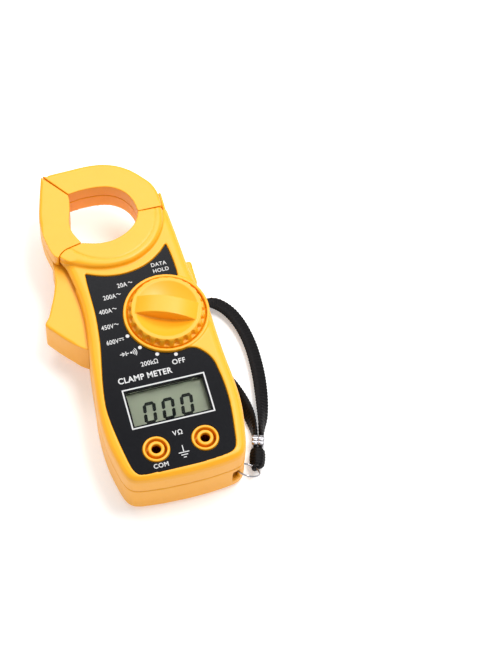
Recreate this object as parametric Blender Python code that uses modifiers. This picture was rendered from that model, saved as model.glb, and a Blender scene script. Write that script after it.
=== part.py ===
"""Clamp meter with a sprung moving jaw, a rotary range switch and a wrist strap.

The meter lies on its back. +Z is the normal of its front face, +Y points to the jaws and +X to its right.
Lengths in this file are in millimetres, and each shape is scaled to metres as it is made.
"""

import math

import bmesh
import bpy
from mathutils import Matrix, Vector

MM = 0.001
GAP = 0.3

# Heights above the surface that the meter lies on.
FACE_Z = 30.0
LABEL_TOP_Z = 29.2
LABEL_FLOOR_Z = 28.4
PLATE_LOW_Z = 26.2
SPLIT_Z = 18.0
SKIN = 2.2
JAW_LOW_Z = 16.8
JAW_HIGH_Z = 32.5
JAW_SPLIT_Z = 25.0
CRESCENT_BACK_Z = 14.8
TRIGGER_LOW_Z = 6.5
TRIGGER_HIGH_Z = 25.0
CORE_LOW_Z = 20.8
CORE_HIGH_Z = 26.4
PCB_LOW_Z = 19.9
PCB_HIGH_Z = 21.5

# The ring of the jaws, and the pin that the moving jaw turns on.
RING = (-5.0, 49.7)
CORE_INNER_R = 17.4
CORE_OUTER_R = 21.6
CORE_TIP_SHIFT = 2.6
CORE_TIP_ANGLE = 133.5
CORE_TIP_SPREAD = 22.0
COIL_INNER_R = 16.1
COIL_OUTER_R = 23.6
PIVOT = (-22.0, 29.5)
PIVOT_PIN_R = 1.5
SEAM_R = 7.3
SEAM_TILT = 12.0
HUB_R = 8.8
HUB_ARM_R = 10.4
BACK_STEP_R = 20.5

# The range switch.
KNOB = (9.45, -2.15)
KNOB_LOW_R = 16.5
KNOB_TOP_R = 15.3
KNOB_LOW_Z = 28.8
KNOB_RIM_Z = 34.0
KNOB_TOP_Z = 38.0
BEZEL_INNER_R = 17.0
BEZEL_OUTER_R = 18.2
GRIP_ANGLE = math.radians(-21.6)
GRIP_HALF = 4.0
GRIP_REACH = 13.0
DISH_R = 13.2
DISH_DEEP = 2.8
CARRIER_R = 13.4
DETENT_R = 10.5

# The display and the sockets.
DISPLAY = (0.0, -41.65)
WINDOW_W = 33.0
WINDOW_H = 16.4
JACKS = {"com_jack": (-10.3, -61.6), "volt_ohm_jack": (10.3, -61.6)}
JACK_RIM_R = 5.6

# The batteries lie across the case.
BATTERY_R = 5.2
BATTERY_LONG = 44.5
BATTERY_Z = 8.0
BATTERY_YS = (-47.2, -35.6)
DOOR = (-24.0, 24.0, -54.0, -23.5)
DOOR_SCREW = (0.0, -26.4)
CASE_SCREWS = ((2.0, 20.4), (-20.3, -62.6), (20.3, -62.6))

# The data hold button in the right wall, and the lug for the strap at the lower right corner.
HOLD_Y = 19.8
HOLD_Z = 16.2
HOLD_LONG = 11.4
HOLD_TALL = 6.0
LUG = (23.4, -71.0)
STRAP_WIDE = 6.4
STRAP_THICK = 2.4

# Outlines seen from the front, as points that a smooth curve goes through.
CASE_RIGHT = [(0, -74.9), (10, -74.6), (19.6, -73.6), (23.6, -72.0), (25.8, -68.6), (27.4, -61.5),
              (28.9, -52.5), (29.4, -45), (29.1, -36), (28.4, -26), (28.0, -14), (27.9, -4), (27.0, 4),
              (25.2, 12), (24.2, 20), (23.7, 30), (23.2, 39), (22.7, 47.2)]
CASE_LEFT = [(-28.05, 33.6), (-27.5, 31.6), (-26.4, 29), (-25.0, 20), (-24.3, 12), (-24.5, 3), (-25.5, -6),
             (-26.8, -16), (-28.0, -28), (-29.0, -37), (-29.3, -46), (-28.8, -54.5), (-27.4, -62.5),
             (-25.8, -68.6), (-23.6, -72.0), (-19.6, -73.6), (-10, -74.6)]
HOLE_FIXED = [(9.6, 47.6), (8.9, 53.0), (6.6, 57.6), (2.8, 61.0), (-1.6, 62.8), (-7.4, 63.5), (-12.5, 63.4),
              (-17.4, 62.8)]
HOLE_MOVING = [(-17.6, 59.8), (-18.6, 54.9), (-20.2, 49.5), (-20.3, 45.2), (-19.2, 41.8)]
HOLE_CASE = [(-13.6, 36.9), (-10, 36.1), (-5.5, 36.0), (-1.6, 36.8), (1.8, 38.2), (5.2, 40.4), (8.0, 43.6),
             (9.6, 47.4)]
JAW_OUTER = [(20.2, 47.6), (20.5, 51.5), (20.2, 55.5), (18.8, 59.9), (16.2, 63.5), (11.7, 68.6), (5.9, 72.5),
             (-0.4, 74.6), (-7.0, 75.2), (-14.0, 75.0), (-20.4, 74.8), (-26.3, 74.5)]
MOVING_OUTER = [(-26.85, 74.1), (-28.9, 67.6), (-30.8, 60.5), (-32.0, 55.6), (-32.6, 50.5), (-32.5, 45.2),
                (-31.8, 40.2), (-31.0, 36.6), (-30.0, 34.3)]
CREST = [(-28.05, 33.6), (-26.0, 31.3), (-22.3, 29.0), (-16.6, 26.3), (-10.5, 24.6), (-4.2, 24.2), (2.7, 25.2),
         (10.2, 28.9), (15.2, 33.8), (18.9, 40.3), (20.2, 47.2)]
LABEL_LOW = [(-22.0, -67.6), (-20.4, -70.4), (-17.2, -71.4), (-8, -71.8), (0, -71.9), (8, -71.7), (17.2, -70.8),
             (20.6, -69.4), (22.0, -66.6), (22.8, -62), (23.9, -53.7), (24.5, -46), (24.3, -38.5), (23.7, -33),
             (23.1, -29.0), (21.6, -25.4), (19.4, -22.6), (17.5, -20.9), (15.6, -20.15)]
LABEL_TIP = [(18.8, 17), (18.6, 22), (18.2, 26.5), (17.6, 30.8)]
LABEL_TOP = [(14.4, 27.6), (10, 24.4), (5, 22.1), (-0.5, 20.9), (-5.7, 20.7), (-10.8, 21.4), (-15.3, 22.8),
             (-19.4, 24.6)]
LABEL_LEFT = [(-19.6, 19.7), (-19.6, 13), (-19.6, 6.9), (-19.9, 1), (-20.5, -5.1), (-21.3, -11.2),
              (-22.5, -17.5), (-24.1, -25.8), (-25.2, -33), (-25.7, -39.5), (-25.3, -46.5), (-24.1, -56),
              (-22.8, -64)]
TRIGGER_EDGE = [(-30.9, 37.4), (-31.0, 33), (-31.5, 29), (-32.8, 24), (-34.4, 19.6), (-36.2, 15.6), (-38.4, 10.8),
                (-40.4, 8.3), (-40.4, 6.6), (-38.6, 4.2), (-35.5, 0.3), (-32.1, -3.5), (-28.8, -6.6),
                (-25.8, -8.8)]
TRIGGER_INNER = [(-23.8, -6.8), (-22.8, 5), (-22.8, 14), (-22.0, 19.4), (-23.6, 22.6), (-27.2, 24.8), (-28.4, 28),
                 (-28.4, 37.4)]

# The strap's route, from the ferrule up beside the case and back, with its tilt from standing on edge.
STRAP_ROUTE = [(34.4, -55.35, 3.5, 0), (34.9, -51.5, 3.5, 15), (34.8, -45.5, 3.4, 40), (33.9, -39.0, 3.0, 55),
               (32.4, -32.5, 3.4, 40), (31.0, -26.0, 3.6, 12), (29.95, -19.0, 3.6, 0), (29.75, -11.0, 3.6, 0),
               (29.5, -3.0, 3.6, 0), (29.1, 3.0, 3.6, 0), (28.9, 8.0, 3.6, 20), (31.2, 11.2, 3.4, 45),
               (35.0, 10.6, 3.0, 58), (38.8, 6.9, 2.8, 62), (41.6, 1.6, 2.7, 65), (43.6, -5.6, 2.5, 68),
               (44.5, -14.5, 2.45, 70), (44.1, -25.6, 2.45, 70), (42.6, -36.0, 2.7, 64), (40.4, -45.5, 3.2, 45),
               (38.3, -51.6, 3.5, 18), (36.9, -56.15, 3.5, 0)]
STRAP_POINTS = 46

# The cord end's middle and lean, and the ring: how it hangs from the lug's post and how it is tilted.
STRAP_END = (32.5, -65.4, 4.2)
STRAP_LEAN = -18.0
RING_R = 5.2
RING_WIRE_R = 0.55
RING_REACH = 3.1
RING_Z = 10.3
RING_PULL = -20.0
RING_SLOPE = math.radians(15)
RING_TILT = math.radians(-38)

CASE_COLOUR = (0.95, 0.52, 0.06)
DARK_COLOUR = (0.03, 0.03, 0.035)
STEEL_COLOUR = (0.62, 0.62, 0.64)
BRASS_COLOUR = (0.75, 0.58, 0.25)
COPPER_COLOUR = (0.72, 0.36, 0.18)
BOARD_COLOUR = (0.05, 0.28, 0.12)


# ---------------------------------------------------------------- outlines

def smooth(points, steps=2, closed=False):
    """Points along the Catmull-Rom curve through the points given."""
    count = len(points)
    spans = count if closed else count - 1

    def at(index):
        if closed:
            return points[index % count]
        return points[min(max(index, 0), count - 1)]

    found = []
    for span in range(spans):
        around = [at(span + shift) for shift in (-1, 0, 1, 2)]
        for step in range(steps):
            t = step / steps
            weights = (-t**3 + 2 * t**2 - t, 3 * t**3 - 5 * t**2 + 2, -3 * t**3 + 4 * t**2 + t, t**3 - t**2)
            found.append(tuple(sum(w * p[axis] for w, p in zip(weights, around)) / 2
                               for axis in range(len(points[0]))))
    if not closed:
        found.append(tuple(points[-1]))
    return found


def arc(centre, radius, start, end, steps):
    """Points on a circle from one angle to another, in degrees, both ends included."""
    angles = [math.radians(start + (end - start) * step / steps) for step in range(steps + 1)]
    return [(centre[0] + radius * math.cos(a), centre[1] + radius * math.sin(a)) for a in angles]


def circle(centre, radius, steps=32):
    return arc(centre, radius, 0, 360 - 360 / steps, steps - 1)


def inset(loop, distance):
    """The loop, which runs anticlockwise, moved inwards by a distance."""
    found = []
    count = len(loop)
    for index in range(count):
        before, here, after = (Vector(loop[(index + shift) % count]) for shift in (-1, 0, 1))
        first = (here - before).normalized()
        second = (after - here).normalized()
        normals = [Vector((-edge.y, edge.x)) for edge in (first, second)]
        bisector = (normals[0] + normals[1]).normalized()
        found.append(tuple(here + bisector * (distance / max(0.4, bisector.dot(normals[0])))))
    return [point for point in found if abs(to_loop(point, loop) - abs(distance)) < 0.05]


def to_loop(point, loop):
    """How far a point is from the nearest edge of a closed loop."""
    nearest = []
    for start, end in zip(loop, loop[1:] + loop[:1]):
        edge = Vector(end) - Vector(start)
        share = min(1, max(0, (Vector(point) - Vector(start)).dot(edge) / edge.length_squared))
        nearest.append((Vector(start) + share * edge - Vector(point)).length)
    return min(nearest)


def rectangle(x_low, x_high, y_low, y_high):
    return [(x_low, y_low), (x_high, y_low), (x_high, y_high), (x_low, y_high)]


def around(centre, width, height):
    return rectangle(centre[0] - width / 2, centre[0] + width / 2, centre[1] - height / 2, centre[1] + height / 2)


def sector(inner, outer, start, end, steps):
    """A band of the ring between two radii and two angles."""
    return arc(RING, outer, start, end, steps) + arc(RING, inner, end, start, steps)


def seam(radius, reach, end):
    """The seam below the moving jaw: straight from the jaws' opening, then an arc about the pivot."""
    tilt = math.radians(SEAM_TILT)
    tangent = arc(PIVOT, radius, 90 + SEAM_TILT, end, 7)
    start = (tangent[0][0] + reach * math.cos(tilt), tangent[0][1] + reach * math.sin(tilt))
    return [start, *tangent]


def core_band(start, end, steps, gap=0.0):
    """The core's outline between two angles. It swings outwards where the jaws' tips are."""
    sides = []
    for radius in (CORE_OUTER_R + gap, CORE_INNER_R - gap):
        side = []
        for step in range(steps + 1):
            angle = start + (end - start) * step / steps
            near = max(0.0, 1 - ((angle - CORE_TIP_ANGLE) / CORE_TIP_SPREAD) ** 2)
            reach = radius + CORE_TIP_SHIFT * near ** 2
            side.append((RING[0] + reach * math.cos(math.radians(angle)),
                         RING[1] + reach * math.sin(math.radians(angle))))
        sides.append(side)
    return sides[0] + [*reversed(sides[1])]


def case_loop():
    hole = smooth([*reversed(HOLE_CASE)], 3)
    return smooth(CASE_RIGHT, 3) + hole + seam(SEAM_R, 6.4, 146) + smooth(CASE_LEFT, 3)[1:]


def crescent_loop():
    hole = smooth([*reversed(HOLE_CASE)], 3)
    return smooth(CREST, 3)[1:] + hole + seam(SEAM_R, 6.4, 146)


def label_loop():
    bezel = arc(KNOB, BEZEL_OUTER_R + 0.1, -77, -300, 26)
    return smooth(LABEL_LOW, 3) + bezel + smooth(LABEL_TIP, 3) + smooth(LABEL_TOP, 3) + smooth(LABEL_LEFT, 3)


def fixed_jaw_loop():
    return smooth(JAW_OUTER) + smooth([*reversed(HOLE_FIXED)])


def moving_jaw_loop():
    below = [*reversed(seam(SEAM_R + GAP, 6.2, 150))]
    inner = smooth([below[-1], *reversed(HOLE_MOVING), (-17.6, 62.4)])
    return smooth(MOVING_OUTER) + below + inner[1:]


# ---------------------------------------------------------------- making objects

def clear_scene():
    for item in list(bpy.data.objects):
        bpy.data.objects.remove(item, do_unlink=True)


def collection(name):
    made = bpy.data.collections.new(name)
    bpy.context.scene.collection.children.link(made)
    return made


def material(name, colour, roughness, metallic=0.0):
    made = bpy.data.materials.new(name)
    made.use_nodes = True
    shader = made.node_tree.nodes["Principled BSDF"]
    shader.inputs["Base Color"].default_value = (*colour, 1)
    shader.inputs["Roughness"].default_value = roughness
    shader.inputs["Metallic"].default_value = metallic
    return made


clear_scene()
PARTS = collection("clamp_meter")
CUTTERS = collection("cutters")


def place(name, mesh, finish=None):
    """Puts a mesh in the scene: as a part when it has a finish, otherwise as a cutter."""
    made = bpy.data.objects.new(name, mesh)
    if finish is None:
        CUTTERS.objects.link(made)
        made.hide_render = True
        made.display_type = "WIRE"
        return made
    PARTS.objects.link(made)
    mesh.materials.clear()
    mesh.materials.append(material(name, *finish))
    mesh.shade_smooth()
    mesh.set_sharp_from_angle(angle=math.radians(35))
    return made


def cleaned(mesh):
    """Welds a plate, joins the triangles of its flat faces and turns its faces outwards."""
    work = bmesh.new()
    work.from_mesh(mesh)
    bmesh.ops.remove_doubles(work, verts=work.verts, dist=0.002 * MM)
    work.normal_update()
    flat = [edge for edge in work.edges if all(abs(face.normal.z) > 0.99 for face in edge.link_faces)]
    bmesh.ops.dissolve_limit(work, angle_limit=0.002, verts=[], edges=flat)
    bmesh.ops.recalc_face_normals(work, faces=work.faces)
    work.to_mesh(mesh)
    work.free()
    return mesh


def rounded(mesh, height, width, segments, keep=None):
    """Rounds the edges of a plate's flat face at a height, or those for which keep(x, y) is true."""
    work = bmesh.new()
    work.from_mesh(mesh)
    work.normal_update()
    edges = []
    for edge in work.edges:
        middle = (edge.verts[0].co + edge.verts[1].co) / 2 / MM
        level = all(abs(v.co.z / MM - height) < 0.01 for v in edge.verts)
        upright = [abs(face.normal.z) < 0.5 for face in edge.link_faces]
        if level and any(upright) and not all(upright) and (keep is None or keep(middle.x, middle.y)):
            edges.append(edge)
    bmesh.ops.bevel(work, geom=edges, offset=width * MM, segments=segments, profile=0.5, affect="EDGES",
                    clamp_overlap=False)
    bmesh.ops.remove_doubles(work, verts=work.verts, dist=0.002 * MM)
    work.to_mesh(mesh)
    work.free()
    return mesh


def plate_mesh(name, loops, low, high):
    """A flat outline with its holes, filled, from one height to another."""
    curve = bpy.data.curves.new(name, "CURVE")
    curve.dimensions = "2D"
    curve.fill_mode = "BOTH"
    curve.extrude = (high - low) / 2 * MM
    for loop in loops:
        spline = curve.splines.new("POLY")
        spline.points.add(len(loop) - 1)
        for point, (x, y) in zip(spline.points, loop):
            point.co = (x * MM, y * MM, 0, 1)
        spline.use_cyclic_u = True
    flat = bpy.data.objects.new(name, curve)
    flat.location.z = (low + high) / 2 * MM
    CUTTERS.objects.link(flat)
    bpy.context.view_layer.update()
    mesh = bpy.data.meshes.new_from_object(flat.evaluated_get(bpy.context.evaluated_depsgraph_get()))
    mesh.transform(flat.matrix_world)
    bpy.data.objects.remove(flat)
    bpy.data.curves.remove(curve)
    mesh.name = name
    return cleaned(mesh)


def plate(name, loops, low, high, finish=None):
    return place(name, plate_mesh(name, loops, low, high), finish)


def block(name, sides, low, high, finish=None, bevel=0.0):
    """A box between two heights, whose sides are at the lowest and highest x and y."""
    mesh = bpy.data.meshes.new(name)
    x_low, x_high, y_low, y_high = sides
    work = bmesh.new()
    bmesh.ops.create_cube(work, size=1)
    size = Matrix.Diagonal(((x_high - x_low) * MM, (y_high - y_low) * MM, (high - low) * MM, 1))
    middle = Vector(((x_low + x_high) / 2, (y_low + y_high) / 2, (low + high) / 2)) * MM
    bmesh.ops.transform(work, matrix=Matrix.Translation(middle) @ size, verts=work.verts)
    if bevel:
        bmesh.ops.bevel(work, geom=work.edges[:], offset=bevel * MM, segments=2, profile=0.5, affect="EDGES")
    work.to_mesh(mesh)
    work.free()
    return place(name, mesh, finish)


def rod(name, centre, radius, low, high, finish=None, sides=24):
    """An upright cylinder."""
    mesh = bpy.data.meshes.new(name)
    work = bmesh.new()
    bmesh.ops.create_cone(work, cap_ends=True, segments=sides, radius1=radius * MM, radius2=radius * MM,
                          depth=(high - low) * MM)
    middle = Vector((centre[0], centre[1], (low + high) / 2)) * MM
    bmesh.ops.translate(work, vec=middle, verts=work.verts)
    work.to_mesh(mesh)
    work.free()
    return place(name, mesh, finish)


def ball(name, radius, centre, segments, finish=None):
    mesh = bpy.data.meshes.new(name)
    work = bmesh.new()
    bmesh.ops.create_uvsphere(work, u_segments=segments, v_segments=segments, radius=radius * MM)
    work.to_mesh(mesh)
    work.free()
    made = place(name, mesh, finish)
    made.location = Vector(centre) * MM
    return made


def turned(name, profile, matrix, finish, steps=24):
    """A profile of (radius, height) points, top to bottom, turned about Z and then moved by a matrix."""
    mesh = bpy.data.meshes.new(name)
    points = [(radius * MM, 0, height * MM) for radius, height in profile]
    mesh.from_pydata(points, [(index, index + 1) for index in range(len(points) - 1)], [])
    made = place(name, mesh, finish)
    made.matrix_world = matrix
    screw = made.modifiers.new("turn", "SCREW")
    screw.angle = math.tau
    screw.steps = steps
    screw.render_steps = steps
    screw.use_merge_vertices = True
    screw.merge_threshold = 0.000001
    screw.use_smooth_shade = True
    return made


def at(x, y, z=0.0):
    return Matrix.Translation(Vector((x, y, z)) * MM)


def wire(name, points, radius, finish, cyclic=False, resolution=2):
    """A round wire along points."""
    curve = bpy.data.curves.new(name, "CURVE")
    curve.dimensions = "3D"
    curve.bevel_depth = radius * MM
    curve.bevel_resolution = resolution
    curve.use_fill_caps = not cyclic
    spline = curve.splines.new("POLY")
    spline.points.add(len(points) - 1)
    for point, place_at in zip(spline.points, points):
        point.co = (*(value * MM for value in place_at), 1)
    spline.use_cyclic_u = cyclic
    made = bpy.data.objects.new(name, curve)
    PARTS.objects.link(made)
    curve.materials.append(material(name, *finish))
    return made


def boolean(target, other, operation):
    change = target.modifiers.new(other.name, "BOOLEAN")
    change.operation = operation
    change.solver = "EXACT"
    change.object = other
    return target


def cut(target, *others):
    for other in others:
        boolean(target, other, "DIFFERENCE")


def join(target, *others):
    for other in others:
        boolean(target, other, "UNION")


def about_axis(item, centre):
    """Moves an object's origin to an axis and leaves its shape where it is."""
    shift = Vector((centre[0], centre[1], 0)) * MM
    item.data.transform(Matrix.Translation(-shift))
    item.location = shift


def hang(name, centre, items):
    """Parents objects to an empty on their joint's axis."""
    axis = bpy.data.objects.new(name, None)
    axis.matrix_world = at(*centre)
    PARTS.objects.link(axis)
    for item in items:
        item.parent = axis
        item.matrix_parent_inverse = axis.matrix_world.inverted()


# ---------------------------------------------------------------- finishes

CASE = (CASE_COLOUR, 0.42)
BLACK = (DARK_COLOUR, 0.35)
STEEL = (STEEL_COLOUR, 0.35, 1.0)
IRON = ((0.32, 0.33, 0.35), 0.5, 1.0)
BRASS = (BRASS_COLOUR, 0.3, 1.0)
COPPER = (COPPER_COLOUR, 0.4, 1.0)
BOARD = (BOARD_COLOUR, 0.5)
CLEAR = ((0.9, 0.93, 0.95), 0.05)
DISPLAY_GREY = ((0.42, 0.45, 0.38), 0.3)
NYLON = ((0.85, 0.84, 0.8), 0.5)
WEB = ((0.02, 0.02, 0.02), 0.8)


# ---------------------------------------------------------------- cutters that two halves share

def case_half(name, low, high):
    """The outer form of the case, rounded at front and back, between two heights."""
    loop = case_loop()

    def along_side(x, y):
        return not (y > 33.0 and x < 20) and y < 46.9

    mesh = plate_mesh(name, [loop], 0, FACE_Z)
    rounded(mesh, FACE_Z, 3.4, 3, along_side)
    rounded(mesh, 0, 2.4, 2, along_side)
    made = place(name, mesh, CASE)
    boolean(made, block(name + "_slab", (-60, 60, -100, 100), low, high), "INTERSECT")
    return made


def shared_cutters():
    """The openings that go through both halves of the case."""
    slot = plate("trigger_slot", [[(-50, -10.2), (-21.5, -10.2), (-21.5, 24), (-26, 34), (-28, 60), (-50, 60)]],
                 TRIGGER_LOW_Z - GAP, TRIGGER_HIGH_Z + GAP)
    hub = rod("hub_room", PIVOT, HUB_ARM_R + GAP, TRIGGER_LOW_Z - GAP, CORE_HIGH_Z + 0.9, sides=40)
    half_long = HOLD_LONG / 2 + GAP
    half_tall = HOLD_TALL / 2 + GAP
    hold = block("hold_opening", (21, 30, HOLD_Y - half_long, HOLD_Y + half_long), HOLD_Z - half_tall,
                 HOLD_Z + half_tall)
    lug = plate("lug_recess", [[(19.4, -80), (34, -80), (34, -64.9), (22.4, -64.9), (19.4, -67.6)]], 6.0, 14.6)
    return slot, hub, hold, lug


# ---------------------------------------------------------------- the case

def coil_room(name):
    return plate(name, [sector(COIL_INNER_R - 0.3, COIL_OUTER_R + 0.5, -104, -46, 14)], 17.0, 29.7)


def front_case(openings):
    """The front half: walls, face plate, raised crescent, knob bezel, socket towers and screw bosses."""
    made = case_half("front_case", SPLIT_Z + GAP / 2, 60)
    crescent = plate_mesh("crescent", [crescent_loop()], SPLIT_Z + GAP / 2, JAW_HIGH_Z)
    rounded(crescent, JAW_HIGH_Z, 2.0, 3, lambda x, y: math.dist((x, y), RING) > 23.5 and x > -24)
    join(made, place("crescent", crescent))
    join(made, block("jaw_guard", (20.85, 22.1, 44, 56.6), SPLIT_Z + GAP / 2, 28.4, bevel=0.5))
    join(made, plate("bezel", [circle(KNOB, BEZEL_OUTER_R, 48)], 26.4, FACE_Z + 0.5))

    inner = inset(case_loop(), SKIN)
    cut(made, plate("front_cavity", [inner], SPLIT_Z - 5, PLATE_LOW_Z))
    cut(made, coil_room("front_coil_room"))
    cut(made, plate("core_room", [sector(CORE_INNER_R - 0.4, CORE_OUTER_R + 0.4, -124, 12, 24)],
                    CORE_LOW_Z - 0.4, CORE_HIGH_Z + 0.4))
    for name, centre in JACKS.items():
        join(made, rod(name + "_tower", centre, JACK_RIM_R, 22.2, FACE_Z - 0.1, sides=32))
    for index, centre in enumerate(CASE_SCREWS):
        join(made, rod(f"boss_{index}", centre, 2.9, 9.0, PLATE_LOW_Z + 0.5, sides=20))

    cut(made, plate("label_recess", [label_loop()], LABEL_FLOOR_Z, 40))
    cut(made, rod("knob_well", KNOB, BEZEL_INNER_R, LABEL_FLOOR_Z, 40, sides=48))
    cut(made, rod("knob_hole", KNOB, 5.3, 20, 40))
    cut(made, plate("window_opening", [around(DISPLAY, WINDOW_W, WINDOW_H)], 20, 40))
    for name, centre in JACKS.items():
        join(made, plate(name + "_rim", [circle(centre, JACK_RIM_R)], LABEL_FLOOR_Z - 0.6, FACE_Z - 0.1))
        cut(made, plate(name + "_gap", [circle(centre, 4.5), circle(centre, 3.4)], 24.4, 40))
        cut(made, rod(name + "_bore", centre, 2.8, 15, 27.6))
        cut(made, rod(name + "_mouth", centre, 2.05, 20, 40))
    for index, centre in enumerate(CASE_SCREWS):
        cut(made, rod(f"boss_bore_{index}", centre, 1.5, 5, 16.5, sides=16))
    cut(made, *openings)
    return made


def back_case(openings):
    """The back half: walls, back skin, battery bay, screw wells and the lug's post."""
    made = case_half("back_case", -10, SPLIT_Z - GAP / 2)
    cavity = plate("back_cavity", [inset(case_loop(), SKIN)], SKIN, SPLIT_Z + 5)
    cut(cavity, rod("crescent_floor", RING, BACK_STEP_R + SKIN, 0, CRESCENT_BACK_Z + 2.0, sides=64))
    cut(made, cavity, coil_room("back_coil_room"))
    cut(made, rod("crescent_step", RING, BACK_STEP_R, -5, CRESCENT_BACK_Z, sides=64))

    low, high = DOOR[2], BATTERY_YS[1] + BATTERY_R + 1.9
    for index, y in enumerate((low - 0.9, high - 1.3)):
        join(made, block(f"bay_wall_{index}", (-27.2, 27.2, y, y + 1.3), 1.0, 13.6))
    join(made, block("door_boss", (-3.6, 3.6, high - 1.0, DOOR[3] + 2.0), 1.9, 9.0))
    for index, centre in enumerate(CASE_SCREWS):
        join(made, rod(f"screw_well_{index}", centre, 4.0, 0.5, 5.4, sides=24))
    join(made, rod("pivot_boss", PIVOT, 3.0, 1.0, 6.0, sides=20))

    cut(made, block("door_opening", DOOR, -5, SKIN - 0.25))
    cut(made, block("bay_opening", (DOOR[0] + 1.4, DOOR[1] - 1.4, low + 1.0, high - 1.6), -5, 13))
    for index, centre in enumerate(CASE_SCREWS):
        cut(made, rod(f"head_well_{index}", centre, 2.8, -5, 3.0, sides=24))
        cut(made, rod(f"screw_hole_{index}", centre, 1.55, -5, 12, sides=16))
    cut(made, rod("door_screw_hole", DOOR_SCREW, 1.3, -5, 8.0, sides=16))
    cut(made, rod("pivot_socket", PIVOT, PIVOT_PIN_R + GAP, 2.4, 12, sides=20))
    cut(made, *openings)
    join(made, rod("lug_post", LUG, 1.2, 5.0, 16.0, sides=12))
    return made


def battery_door():
    x_low, x_high, y_low, y_high = DOOR
    loop = (x_low + GAP, x_high - GAP, y_low + GAP, y_high - GAP)
    made = block("battery_door", loop, 0.0, SKIN - 0.25 - GAP, CASE)
    cut(made, rod("door_hole", DOOR_SCREW, 1.6, -5, 5, sides=20))
    cut(made, rod("door_head_room", DOOR_SCREW, 2.7, -5, 1.2, sides=24))
    for step in range(4):
        y = y_low + 4.0 + 1.8 * step
        cut(made, block(f"door_groove_{step}", (-6, 6, y, y + 0.8), -1, 0.4))
    return made


def screw(name, centre, head_z, tip_z, head_r=2.4, shaft_r=1.15):
    """A pan-head screw that goes up into the case from the back."""
    profile = [(0, tip_z), (shaft_r * 0.6, tip_z), (shaft_r, tip_z - 1.2), (shaft_r, head_z + 0.9),
               (head_r, head_z + 0.9), (head_r, head_z + 0.3), (head_r * 0.8, head_z), (0, head_z)]
    return turned(name, profile, at(*centre), STEEL, 20)


# ---------------------------------------------------------------- the jaws

def core_channel(name, start, end, gap=GAP, finish=None):
    """The room that the core's stretch between two angles takes up, with a gap all round."""
    return plate(name, [core_band(start, end, 24, gap)], CORE_LOW_Z - gap, CORE_HIGH_Z + gap, finish)


def at_tip(x, y):
    """Whether a point is on the slanting faces where the two jaws meet."""
    angle = math.degrees(math.atan2(y - RING[1], x - RING[0]))
    return 128.5 < angle < 135.5


def jaw_half(name, loop, low, high, outer_face):
    mesh = plate_mesh(name, [loop], low, high)
    rounded(mesh, outer_face, 1.3, 2, lambda x, y: math.dist((x, y), RING) > 21 and y > 49 and not at_tip(x, y))
    return place(name, mesh, CASE)


def fixed_jaw():
    loop = fixed_jaw_loop()
    for name, low, high, face in (("fixed_jaw_front", JAW_SPLIT_Z + GAP, JAW_HIGH_Z, JAW_HIGH_Z),
                                  ("fixed_jaw_back", JAW_LOW_Z, JAW_SPLIT_Z, JAW_LOW_Z)):
        cut(jaw_half(name, loop, low, high, face), core_channel(name + "_channel", -30, 140))


def moving_jaw():
    """The sprung jaw in two halves. The back half carries the hub and the trigger."""
    loop = moving_jaw_loop()
    front = jaw_half("moving_jaw_front", loop, JAW_SPLIT_Z + GAP, JAW_HIGH_Z, JAW_HIGH_Z)
    cut(front, core_channel("moving_front_channel", 120, 250))
    back = jaw_half("moving_jaw_trigger", loop, JAW_LOW_Z, JAW_SPLIT_Z, JAW_LOW_Z)
    hub_sector = [(PIVOT[0], PIVOT[1])] + arc(PIVOT, HUB_ARM_R, 62, 150, 10)
    join(back, plate("hub_arm", [hub_sector], 17.4, JAW_SPLIT_Z))
    join(back, rod("hub", PIVOT, HUB_R, 17.4, JAW_SPLIT_Z, sides=40))
    trigger = plate_mesh("trigger", [smooth(TRIGGER_EDGE) + smooth(TRIGGER_INNER)], TRIGGER_LOW_Z, TRIGGER_HIGH_Z)
    rounded(trigger, TRIGGER_LOW_Z, 1.2, 2, lambda x, y: x < -30 and y < 30)
    rounded(trigger, TRIGGER_HIGH_Z, 0.9, 2, lambda x, y: x < -30 and y < 30)
    join(back, place("trigger", trigger))
    cut(back, core_channel("moving_back_channel", 120, 250))
    cut(back, rod("hub_bore", PIVOT, PIVOT_PIN_R + 0.25, 0, 40, sides=24))
    for item in (front, back):
        about_axis(item, PIVOT)


def cores():
    """The two halves of the laminated core. They meet at the jaw tips and beside the hub."""
    fixed = plate("fixed_core", [core_band(-116.5, 131.4, 48)], CORE_LOW_Z, CORE_HIGH_Z, IRON)
    cut(fixed, rod("fixed_core_end", PIVOT, HUB_R + 0.5, 10, 40, sides=40))
    moving = plate("moving_core", [core_band(132.8, 247, 26)], CORE_LOW_Z, CORE_HIGH_Z, IRON)
    rest = plate("moving_core_room", [circle(PIVOT, 60, 64), circle(PIVOT, HUB_R - 0.2, 40)], 10, 40)
    trim = plate("moving_core_trim", [[(-16.5, 20), (10, 20), (10, 37.2), (-16.5, 37.2)]], 11, 39)
    boolean(rest, trim, "INTERSECT")
    cut(moving, rest)
    about_axis(moving, PIVOT)


def coil():
    """The bobbin slipped over the lower stretch of the fixed core, and the winding on it."""
    start, end = -101, -53
    flange = 2.4
    bobbin = core_channel("coil_bobbin", start, end, 0.6, NYLON)
    for index, angle in enumerate((start, end - flange)):
        join(bobbin, plate(f"flange_{index}", [sector(COIL_INNER_R, COIL_OUTER_R, angle, angle + flange, 2)],
                           18.2, 29.2))
    cut(bobbin, core_channel("bobbin_channel", start - 5, end + 5, 0.15))
    winding = plate("coil_winding", [sector(COIL_INNER_R, COIL_OUTER_R - 0.4, start + 3.4, end - 3.4, 12)],
                    18.6, 28.8, COPPER)
    cut(winding, core_channel("winding_channel", start, end, 0.8))


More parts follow.
